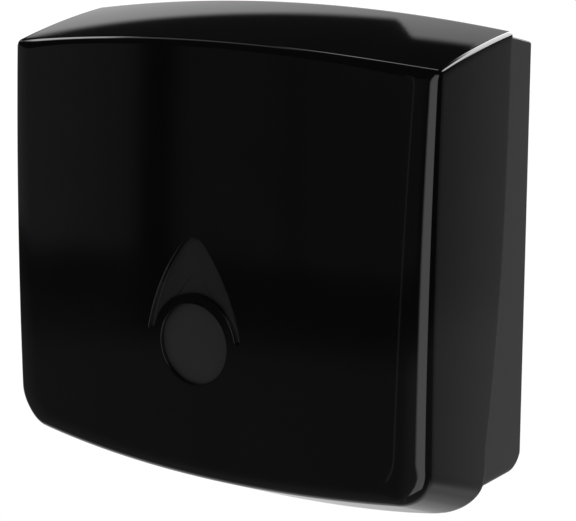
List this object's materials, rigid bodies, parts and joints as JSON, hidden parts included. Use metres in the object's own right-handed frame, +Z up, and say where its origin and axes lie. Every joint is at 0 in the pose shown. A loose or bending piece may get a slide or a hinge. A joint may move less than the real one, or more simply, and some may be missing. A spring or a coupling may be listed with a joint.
{
  "type": "wall-mounted napkin dispenser",
  "caption": "Wall-hung folded napkin dispenser: bowed gloss-black swing-down cover with a smoked arrow window and blank roundel, inner tray, stack guides and cam lock.",
  "frame": {"origin": "middle of the housing's flat back face, on the wall plane", "axes": "+X to the viewer's right, +Y into the wall, +Z up; the front faces -Y"},
  "size_m": [0.303, 0.1263, 0.2952],
  "materials": {
    "back_housing": "satin black ABS",
    "napkin_tray": "satin dark grey ABS",
    "throat_insert": "white acetal",
    "stack_guides": "satin dark grey ABS",
    "zinc_screws": "zinc plated",
    "hinge_pins": "bright ground steel",
    "lock_body": "chromed zinc die-casting",
    "lock_nut": "chromed zinc",
    "lock_barrel": "chromed zinc die-casting",
    "lock_cam": "zinc plated",
    "front_cover": "high-gloss black ABS",
    "window_lens": "smoked polycarbonate",
    "roundel_disc": "semi-gloss dark grey ABS",
    "lens_retainer": "matte black ABS",
    "strike_plate": "zinc plated"
  },
  "bodies": {
    "housing": {"back_housing": "back_housing", "napkin_tray": "napkin_tray", "throat_insert": "throat_insert", "stack_guide_left": "stack_guides", "stack_guide_right": "stack_guides", "guide_screw_upper_left": "zinc_screws", "guide_screw_upper_right": "zinc_screws", "guide_screw_lower_left": "zinc_screws", "guide_screw_lower_right": "zinc_screws", "tray_screw_left": "zinc_screws", "tray_screw_right": "zinc_screws", "hinge_pin_left": "hinge_pins", "hinge_pin_right": "hinge_pins", "lock_body": "lock_body", "lock_nut": "lock_nut"},
    "lock": {"lock_barrel": "lock_barrel", "lock_cam": "lock_cam", "cam_screw": "zinc_screws"},
    "cover": {"front_cover": "front_cover", "window_lens": "window_lens", "roundel_disc": "roundel_disc", "lens_retainer": "lens_retainer", "strike_plate": "strike_plate", "retainer_screw_lower_left": "zinc_screws", "retainer_screw_lower_right": "zinc_screws", "retainer_screw_upper_left": "zinc_screws", "retainer_screw_upper_right": "zinc_screws", "strike_screw_left": "zinc_screws", "strike_screw_right": "zinc_screws"}
  },
  "joints": [
    {"name": "cover_hinge", "type": "hinge", "parent": "housing", "child": "cover", "pos_m": [0, -0.072, -0.1222], "axis": [1, 0, 0], "range_deg": [0, 78]},
    {"name": "lock_turn", "type": "hinge", "parent": "housing", "child": "lock", "pos_m": [0, -0.013, 0.1262], "axis": [0, 0, 1], "range_deg": [-90, 0]}
  ]
}
